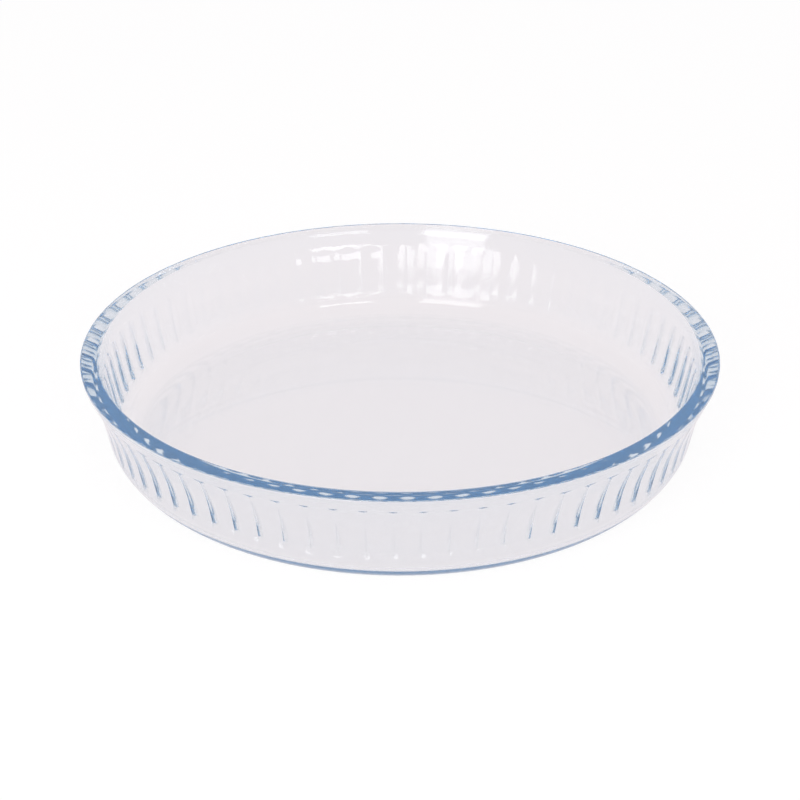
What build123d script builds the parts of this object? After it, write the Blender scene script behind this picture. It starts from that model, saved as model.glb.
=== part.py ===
"""A fluted pie dish, pressed in one piece of clear glass.

Millimetres, +Z up, the dish's axis along Z, its foot on Z = 0 and its front towards -Y.
"""

import os
from math import cos, pi, radians, sin, tan

from build123d import *

# The rim, a narrow upright edge on top of a flare
rim_diameter = 280.0
rim_height = 1.4
rim_edge_bevel = 0.7

# The flare, where the outside leans further out to carry the rim
flare_width = 6.2
flare_height = 14.4

# The lip, where the top of the rim turns down into the dish
lip_width = 0.7
lip_drop = 1.2

# The wall, smooth outside, and its thickness at the deepest line of the flutes
dish_height = 47.5
wall_taper = 11.0
wall_thickness = 5.2

# The flutes inside, scallops that bulge outwards and meet in ridges, below a plain band
flute_count = 72
flute_depth = 1.0
flute_end_drop = 7.0
flute_phase_share = 0.27

# The plain round heels: the outer one runs into the wall, the inner one ends in the flutes
outer_heel_radius = 18.7
heel_height = 17.4
flute_inset = 0.2

# The floor, and the ring round its slightly hollow underside that the dish stands on
floor_thickness = 4.6
foot_width = 10.0
foot_slope = 10.0
foot_recess = 0.4

# How far a cutting shape runs past what it cuts
overrun = 6.0

rim_radius = rim_diameter / 2
rim_underside = dish_height - rim_height
flare_foot = rim_underside - flare_height
flute_top = dish_height - flute_end_drop
lip_height = dish_height - lip_drop


def outer_radius(height):
    """The radius of the outside below the flare: a straight line that narrows downwards."""
    return rim_radius - flare_width - (flare_foot - height) * tan(radians(wall_taper))


def inner_radius(height):
    """The radius of the flutes' deepest lines, one wall's thickness inside the outside's line."""
    return outer_radius(height) - wall_thickness / cos(radians(wall_taper))


outer_heel_top = outer_heel_radius * (1 - sin(radians(wall_taper)))
foot_radius = outer_radius(outer_heel_top) - outer_heel_radius * cos(radians(wall_taper))
inner_heel = inner_radius(heel_height) - flute_depth - flute_inset


def scalloped_outline(height):
    """The flutes' outline at one height: an arc for each, from ridge over valley to ridge."""
    pitch = 2 * pi / flute_count
    front_valley = -pi / 2 + flute_phase_share * pitch
    valley_radius = inner_radius(height)
    with BuildSketch(Plane.XY.offset(height)) as outline:
        with BuildLine():
            for flute in range(flute_count):
                valley = front_valley + flute * pitch
                points = []
                for angle, radius in (
                    (valley - pitch / 2, valley_radius - flute_depth),
                    (valley, valley_radius),
                    (valley + pitch / 2, valley_radius - flute_depth),
                ):
                    points.append((radius * cos(angle), radius * sin(angle)))
                ThreePointArc(*points)
        make_face()
    return outline.sketch


def outside_section():
    """Half the section of the filled dish: floor, heel, wall, flare and the rim's upright edge."""
    with BuildSketch(Plane.XZ) as section:
        with BuildLine():
            Polyline(
                (outer_radius(outer_heel_top), outer_heel_top),
                (outer_radius(flare_foot), flare_foot),
                (rim_radius, rim_underside),
                (rim_radius, dish_height),
                (0, dish_height),
                (0, 0),
                (foot_radius, 0),
            )
            RadiusArc(
                (foot_radius, 0),
                (outer_radius(outer_heel_top), outer_heel_top),
                -outer_heel_radius,
            )
        make_face()
        edge = section.vertices().group_by(Axis.X)[-1].sort_by(Axis.Y)[-1]
        chamfer(edge, length=rim_edge_bevel)
    return section.sketch


def bowl_section():
    """Half the section of the hollow's plain bottom: the floor and a heel that curves up."""
    heel_radius = heel_height - floor_thickness
    heel_start = (inner_heel - heel_radius, floor_thickness)
    heel_end = (inner_heel, heel_height)
    with BuildSketch(Plane.XZ) as section:
        with BuildLine():
            Polyline(heel_end, (0, heel_height), (0, floor_thickness), heel_start)
            RadiusArc(heel_start, heel_end, -heel_radius)
        make_face()
    return section.sketch


def mouth_section():
    """Half the section of the plain band above the flutes and the lip, which opens outwards."""
    band_foot = inner_radius(flute_top) + flute_inset
    band_top = inner_radius(lip_height) + flute_inset
    with BuildSketch(Plane.XZ) as section:
        with BuildLine():
            Polyline(
                (0, flute_top),
                (band_foot, flute_top),
                (band_top, lip_height),
                (band_top + lip_width, dish_height),
                (band_top + lip_width, dish_height + overrun),
                (0, dish_height + overrun),
                close=True,
            )
        make_face()
    return section.sketch


def foot_section():
    """Half the section of the shallow recess under the floor, with a gently sloping edge."""
    recess_edge = foot_radius - foot_width
    with BuildSketch(Plane.XZ) as section:
        with BuildLine():
            Polyline(
                (0, -overrun),
                (recess_edge, -overrun),
                (recess_edge, 0),
                (recess_edge - foot_slope, foot_recess),
                (0, foot_recess),
                close=True,
            )
        make_face()
    return section.sketch


# The hollow: a plain bowl, a scalloped sleeve whose ridges end under the rim, and the mouth
with BuildPart() as hollow:
    revolve(bowl_section(), axis=Axis.Z)
    loft([scalloped_outline(heel_height), scalloped_outline(flute_top)], ruled=True)
    revolve(mouth_section(), axis=Axis.Z)

# The dish: the outside, smooth all round, less the hollow and the recess under the floor
with BuildPart() as pie_dish:
    revolve(outside_section(), axis=Axis.Z)
    add(hollow.part, mode=Mode.SUBTRACT)
    revolve(foot_section(), axis=Axis.Z, mode=Mode.SUBTRACT)

pie_dish.part.label = "pie_dish"
os.makedirs("parts", exist_ok=True)
export_step(pie_dish.part, "parts/pie_dish.step")
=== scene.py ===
"""The looks of a fluted pie dish of clear pressed glass. Metres, in the frame of the CAD model."""

import math

import bpy
import numpy as np
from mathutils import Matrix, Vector


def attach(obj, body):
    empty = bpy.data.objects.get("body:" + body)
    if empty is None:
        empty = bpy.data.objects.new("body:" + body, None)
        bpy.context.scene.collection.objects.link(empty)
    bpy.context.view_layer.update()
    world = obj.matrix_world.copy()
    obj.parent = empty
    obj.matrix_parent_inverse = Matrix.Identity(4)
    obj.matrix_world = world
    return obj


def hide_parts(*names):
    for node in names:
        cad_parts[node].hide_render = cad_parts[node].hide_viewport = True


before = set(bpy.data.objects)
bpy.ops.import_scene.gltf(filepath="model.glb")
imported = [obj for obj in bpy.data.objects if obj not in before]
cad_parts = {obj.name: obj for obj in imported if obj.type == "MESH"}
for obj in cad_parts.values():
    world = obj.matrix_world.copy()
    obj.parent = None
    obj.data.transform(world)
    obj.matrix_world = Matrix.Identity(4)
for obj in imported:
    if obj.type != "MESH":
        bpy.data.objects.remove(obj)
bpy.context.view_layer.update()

MM = 0.001

# The dish's sizes. Its outside box is the CAD model's, and some sizes within it differ a little
rim_radius = 140.0 * MM
rim_height = 1.8 * MM
flare_height = 14.9 * MM
flare_width = 6.6 * MM
lip_width = 0.8 * MM
lip_drop = 2.4 * MM
dish_height = 47.5 * MM
wall_taper = math.radians(11.0)
wall_thickness = 5.15 * MM
inner_taper = math.radians(11.5)
flute_count = 72
flute_depth = 1.1 * MM
flute_end_share = 0.5
flute_end_drop = 7.0 * MM
flute_phase_share = 0.27
flute_inset = 0.2 * MM
outer_heel_radius = 18.7 * MM
heel_height = 17.4 * MM
heel_setback = 0.1 * MM
heel_blend = 3.5 * MM
floor_thickness = 4.8 * MM
foot_width = 10.0 * MM
foot_slope = 10.0 * MM
foot_recess = 0.4 * MM
rim_underside = dish_height - rim_height
flare_foot = rim_underside - flare_height
flute_top = dish_height - flute_end_drop
lip_height = dish_height - lip_drop

# How far the edges, the inner heel and the ends of the flutes are rounded
foot_round = 5.0 * MM
flare_round = 4.6 * MM
rim_lower_round = 0.4 * MM
rim_upper_round = 0.6 * MM
lip_round = 0.9 * MM
band_round = 0.1 * MM
flute_round = 4.0 * MM
blend_round = 0.6 * MM
heel_round = 12.6 * MM

# Steps round one flute, crowded at its ridges, the middle that each pole's fan covers, and the
# shares of a straight leg where rows keep its shading straight
flute_steps = 12
pole_radius = 2.0 * MM
leg_shares = (0.02, 0.98)

# The glass takes its blue cast only where light travels far inside it
glass_ior = 1.47
glass_haze = 0.06
haze_spread = 0.02
ripple_scale = 30.0
ripple_detail = 2.0
ripple_mean = 0.5
ripple_height = 0.004 * MM
absorption_density = 7.0
absorption_color = (0.0, 0.44, 0.72, 1.0)

# The studio: a white table and backdrop, which are dimmer and faintly lilac for the glass
studio_fill = 0.6
backdrop_low = 0.15
backdrop_high = 0.40
ceiling = 0.84
surround = 0.90
surround_color = (1.0, 0.945, 0.965)
table_albedo = 0.2
table_glow = 0.86
table_glow_glass = 0.76
table_reach = 4.0
table_gap = 0.3 * MM
light_bounces = 96

# The lamps in front, whose reflections are on the back wall: place, width, height and power
lamp_target = (0.0, 0.0, 0.04)
lamps = (
    ("softbox_left", (-0.55, -1.29, 0.50), 0.65, 0.98, 8.0),
    ("softbox_right", (0.59, -1.27, 0.72), 0.60, 0.30, 3.0),
)

# The camera that was fitted to the photograph
camera_elevation = math.radians(27.28)
camera_distance = 6.0 * rim_radius
camera_aim = 0.131 * rim_radius
focal_pixels = 1868.9
frame_pixels = 800.0


def outer_radius(height):
    """The radius of the outside below the flare: a straight line that narrows downwards."""
    return rim_radius - flare_width - (flare_foot - height) * math.tan(wall_taper)


def inner_radius(height):
    """The radius of the flutes' deepest lines, which lean out slightly more than the outside."""
    top = outer_radius(flute_top) - wall_thickness / math.cos(wall_taper)
    return top - (flute_top - height) * math.tan(inner_taper)


def round_steps():
    """The steps round the dish: each one's angle, and its share of half a flute from the valley.

    The steps crowd towards the ridges: a share is one minus the square of one minus the even one.
    """
    step = np.arange(flute_steps) * 2.0 / flute_steps - 1.0
    turn = np.tile(np.sign(step) * (1.0 - (1.0 - np.abs(step)) ** 2), flute_count)
    valley = np.repeat(np.arange(flute_count), flute_steps) + flute_phase_share
    angle = (valley + turn / 2) * 2 * math.pi / flute_count - math.pi / 2
    return angle, turn


def scallop(turn, valley, depth):
    """The radius of a flute in the hollow: a circular arc that bulges outwards to the valley.

    The arc's circle goes through the valley and both ridges, which are nearer to the axis by
    the flute's depth.
    """
    half = math.pi / flute_count
    ridge = valley - depth
    across = valley - ridge * math.cos(half)
    along = ridge * math.sin(half)
    bend = (across**2 + along**2) / (2 * across)
    middle = valley - bend
    angle = half * turn
    return middle * np.cos(angle) + np.sqrt(bend**2 - (middle * np.sin(angle)) ** 2)


def dish_path(turn):
    """The section's corners, from the middle of the underside over the rim to that of the floor.

    Each has its radius, height, the length of its rounding and the steps that this takes.
    """
    heel_top = outer_heel_radius * (1 - math.sin(wall_taper))
    foot = outer_radius(heel_top) - outer_heel_radius * math.cos(wall_taper)
    inner_heel = inner_radius(heel_height) - heel_setback
    mouth = inner_radius(lip_height) + flute_inset
    band_foot = inner_radius(flute_top) + flute_inset
    recess_edge = foot - foot_width
    low = scallop(turn, inner_radius(heel_height), flute_depth)
    high = scallop(turn, inner_radius(flute_top), flute_depth * flute_end_share)
    tangent = outer_heel_radius * math.tan((math.pi / 2 - wall_taper) / 2)
    return (
        (pole_radius, foot_recess, 0.0, 1),
        (recess_edge - foot_slope, foot_recess, foot_round, 4),
        (recess_edge, 0.0, foot_round, 4),
        (foot + tangent, 0.0, tangent, 18),
        (outer_radius(flare_foot), flare_foot, flare_round, 5),
        (rim_radius, rim_underside, rim_lower_round, 4),
        (rim_radius, dish_height, rim_upper_round, 5),
        (mouth + lip_width, dish_height, lip_round, 6),
        (mouth, lip_height, lip_round, 5),
        (band_foot, flute_top, band_round, 2),
        (high, flute_top, flute_round, 4),
        (low, heel_height, blend_round, 3),
        (inner_heel, heel_height - heel_blend, blend_round, 3),
        (inner_heel, floor_thickness, heel_round, 14),
        (pole_radius, floor_thickness, 0.0, 1),
    )


def rounded_rows(path, turn):
    """Rows of points (radius, height) along a path whose corners are rounded.

    A round is a quarter ellipse from one leg to the next: the corner, plus the way back times
    one minus the sine, plus the way ahead times one minus the cosine. It is as long on both legs
    as the corner's rounding, or as its part of a leg that two roundings would overfill.
    """
    corners = np.array([[radius + 0 * turn, height + 0 * turn] for radius, height, _, _ in path])
    rows = []
    back = corners[0] * 0
    for k, (_, _, length, steps) in enumerate(path):
        if k == len(path) - 1:
            rows.append(corners[k][None])
            break
        leg = corners[k + 1] - corners[k]
        reach = np.hypot(leg[0], leg[1])
        overfill = np.maximum((length + path[k + 1][2]) / reach, 1.0)
        ahead = leg / reach * length / overfill
        open_leg = np.any(overfill == 1.0)
        phase = np.linspace(0.0, math.pi / 2, steps + open_leg)[:, None, None]
        if k == 0:
            phase = phase[:1]
        if not open_leg:
            phase = phase * (steps - 1) / steps
        rows.append(corners[k] + back * (1 - np.sin(phase)) + ahead * (1 - np.cos(phase)))
        back = -leg / reach * path[k + 1][2] / overfill
        if open_leg:
            start, end = corners[k] + ahead, corners[k + 1] + back
            for share in leg_shares:
                rows.append((start + (end - start) * share)[None])
    return np.concatenate(rows)


def dish_mesh():
    """The whole skin of the dish as one closed surface of two parameters.

    One runs along the section and the other round the axis. A fan closes each pole.
    """
    angle, turn = round_steps()
    rows = rounded_rows(dish_path(turn), turn)
    radius, height = rows[:, 0], rows[:, 1]
    count, columns = radius.shape
    skin = np.stack([radius * np.cos(angle), radius * np.sin(angle), height], axis=2)
    poles = [[0.0, 0.0, foot_recess], [0.0, 0.0, floor_thickness]]
    points = np.concatenate([skin.reshape(-1, 3), poles])
    here = np.arange(columns)
    beside = np.roll(here, -1)
    row = np.arange(count - 1)[:, None] * columns
    above = row + columns
    quads = np.stack([row + here, row + beside, above + beside, above + here], axis=2)
    last = (count - 1) * columns
    under = np.stack([0 * here + count * columns, beside, here], axis=1)
    floor = np.stack([0 * here + count * columns + 1, last + here, last + beside], axis=1)
    faces = quads.reshape(-1, 4).tolist() + under.tolist() + floor.tolist()
    mesh = bpy.data.meshes.new("pressed_glass")
    mesh.from_pydata(points.tolist(), [], faces)
    mesh.polygons.foreach_set("use_smooth", np.ones(len(faces), dtype=bool))
    mesh.update()
    return mesh


class Value:
    """A shader socket that takes part in Python sums, each of which adds its Math node."""

    def __init__(self, tree, socket):
        self.tree = tree
        self.socket = socket

    @staticmethod
    def node(tree, kind, settings=None, **inputs):
        """Any node: its settings are set first, then its sockets get values or links."""
        made = tree.nodes.new(kind)
        for name, value in (settings or {}).items():
            setattr(made, name, value)
        for name, value in inputs.items():
            socket = made.inputs[int(name[1:]) if name[0] == "_" else name.replace("_", " ")]
            if isinstance(value, Value):
                tree.links.new(value.socket, socket)
            else:
                socket.default_value = value
        return made

    def math(self, operation, a, b):
        """A Math node on two values, either of which may be a plain number."""
        made = self.node(self.tree, "ShaderNodeMath", {"operation": operation}, _0=a, _1=b)
        return Value(self.tree, made.outputs[0])

    def __add__(self, other):
        return self.math("ADD", self, other)

    def __radd__(self, other):
        return self.math("ADD", other, self)

    def __sub__(self, other):
        return self.math("SUBTRACT", self, other)

    def __rsub__(self, other):
        return self.math("SUBTRACT", other, self)

    def __mul__(self, other):
        return self.math("MULTIPLY", self, other)

    def __rmul__(self, other):
        return self.math("MULTIPLY", other, self)


def pressed_glass():
    """Clear pressed glass: a soft ripple from the mould, a faint haze of wear, a blue body.

    The ripple is noise over the surface that tilts it a little, and the same noise spreads the
    haze unevenly. The blue is a volume that takes red light first.
    """
    made = bpy.data.materials.new("pressed_glass")
    made.use_nodes = True
    tree = made.node_tree
    shader = tree.nodes["Principled BSDF"]
    shader.inputs["Base Color"].default_value = (1.0, 1.0, 1.0, 1.0)
    shader.inputs["Transmission Weight"].default_value = 1.0
    shader.inputs["IOR"].default_value = glass_ior
    place = Value(tree, Value.node(tree, "ShaderNodeTexCoord").outputs["Object"])
    noise = Value.node(
        tree, "ShaderNodeTexNoise", Vector=place, Scale=ripple_scale, Detail=ripple_detail
    )
    ripple = Value(tree, noise.outputs[0])
    haze = glass_haze + haze_spread * (ripple - ripple_mean)
    tree.links.new(haze.socket, shader.inputs["Roughness"])
    bump = Value.node(tree, "ShaderNodeBump", Height=ripple, Distance=ripple_height, Strength=1.0)
    tree.links.new(bump.outputs[0], shader.inputs["Normal"])
    absorb = Value.node(
        tree, "ShaderNodeVolumeAbsorption", Color=absorption_color, Density=absorption_density
    )
    tree.links.new(absorb.outputs[0], tree.nodes["Material Output"].inputs["Volume"])
    return made


def seen_by_glass(tree):
    """1 for rays from gloss and through glass, and 0 for the light on surfaces."""
    rays = Value.node(tree, "ShaderNodeLightPath")
    glossy = Value(tree, rays.outputs["Is Glossy Ray"])
    through = Value(tree, rays.outputs["Is Transmission Ray"])
    total = glossy + through
    return total.math("MINIMUM", total, 1.0)


def studio_color(camera, strength):
    """White for the camera, as strong as its value, and faint lilac at a strength for the rest."""
    shares = [camera + (1.0 - camera) * strength * share for share in surround_color]
    mixed = Value.node(
        camera.tree, "ShaderNodeCombineColor", Red=shares[0], Green=shares[1], Blue=shares[2]
    )
    return Value(camera.tree, mixed.outputs[0])


def make_world():
    """The white backdrop that the camera sees, and the dimmer light round the glass and table."""
    world = bpy.data.worlds.new("studio")
    bpy.context.scene.world = world
    world.use_nodes = True
    tree = world.node_tree
    background = tree.nodes["Background"]
    camera = Value(tree, Value.node(tree, "ShaderNodeLightPath").outputs["Is Camera Ray"])
    way = Value(tree, Value.node(tree, "ShaderNodeTexCoord").outputs["Generated"])
    height = Value(tree, Value.node(tree, "ShaderNodeSeparateXYZ", Vector=way).outputs["Z"])
    ramp = Value.node(
        tree, "ShaderNodeMapRange", {"interpolation_type": "SMOOTHSTEP"}, Value=height,
        From_Min=backdrop_low, From_Max=backdrop_high, To_Min=surround, To_Max=ceiling,
    )
    around = studio_fill + seen_by_glass(tree) * (Value(tree, ramp.outputs[0]) - studio_fill)
    tree.links.new(studio_color(camera, around).socket, background.inputs["Color"])


def make_table():
    """A plain white table that reads as white to the camera and still takes the dish's shadow."""
    corners = [(x, y, -table_gap) for x, y in (
        (-table_reach, -table_reach), (table_reach, -table_reach),
        (table_reach, table_reach), (-table_reach, table_reach),
    )]
    mesh = bpy.data.meshes.new("table_top")
    mesh.from_pydata(corners, [], [(0, 1, 2, 3)])
    table = bpy.data.objects.new("table_top", mesh)
    bpy.context.scene.collection.objects.link(table)
    made = bpy.data.materials.new("white_table")
    made.use_nodes = True
    tree = made.node_tree
    tree.nodes.remove(tree.nodes["Principled BSDF"])
    grey = (table_albedo, table_albedo, table_albedo, 1.0)
    diffuse = Value.node(tree, "ShaderNodeBsdfDiffuse", Color=grey)
    camera = Value(tree, Value.node(tree, "ShaderNodeLightPath").outputs["Is Camera Ray"])
    strength = seen_by_glass(tree) * table_glow_glass
    color = studio_color(camera * table_glow, strength)
    glow = Value.node(tree, "ShaderNodeEmission", Color=color)
    shaders = [Value(tree, shader.outputs[0]) for shader in (diffuse, glow)]
    both = Value.node(tree, "ShaderNodeAddShader", _0=shaders[0], _1=shaders[1])
    tree.links.new(both.outputs[0], tree.nodes["Material Output"].inputs["Surface"])
    mesh.materials.append(made)


def softbox(name, place, width, height, power):
    """A rectangular lamp that faces the dish."""
    lamp = bpy.data.lights.new(name, "AREA")
    lamp.shape = "RECTANGLE"
    lamp.size = width
    lamp.size_y = height
    lamp.energy = power
    item = bpy.data.objects.new(name, lamp)
    bpy.context.scene.collection.objects.link(item)
    item.location = place
    item.rotation_euler = (Vector(place) - Vector(lamp_target)).to_track_quat("Z", "Y").to_euler()


def make_camera():
    """The camera at the photograph's angle, distance and field."""
    camera = bpy.data.cameras.new("camera")
    camera.lens = camera.sensor_width * focal_pixels / frame_pixels
    viewer = bpy.data.objects.new("camera", camera)
    bpy.context.scene.collection.objects.link(viewer)
    viewer.location = (
        0.0,
        -camera_distance * math.cos(camera_elevation),
        camera_aim + camera_distance * math.sin(camera_elevation),
    )
    viewer.rotation_euler = (math.pi / 2 - camera_elevation, 0.0, 0.0)
    bpy.context.scene.camera = viewer


dish = bpy.data.objects.new("glass_dish", dish_mesh())
bpy.context.scene.collection.objects.link(dish)
dish.data.materials.append(pressed_glass())
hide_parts("pie_dish")
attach(dish, "root")

make_world()
make_table()
for lamp_settings in lamps:
    softbox(*lamp_settings)
make_camera()

bpy.context.scene.view_settings.view_transform = "Standard"
bpy.context.scene.cycles.max_bounces = light_bounces
bpy.context.scene.cycles.transmission_bounces = light_bounces
bpy.context.scene.cycles.glossy_bounces = light_bounces
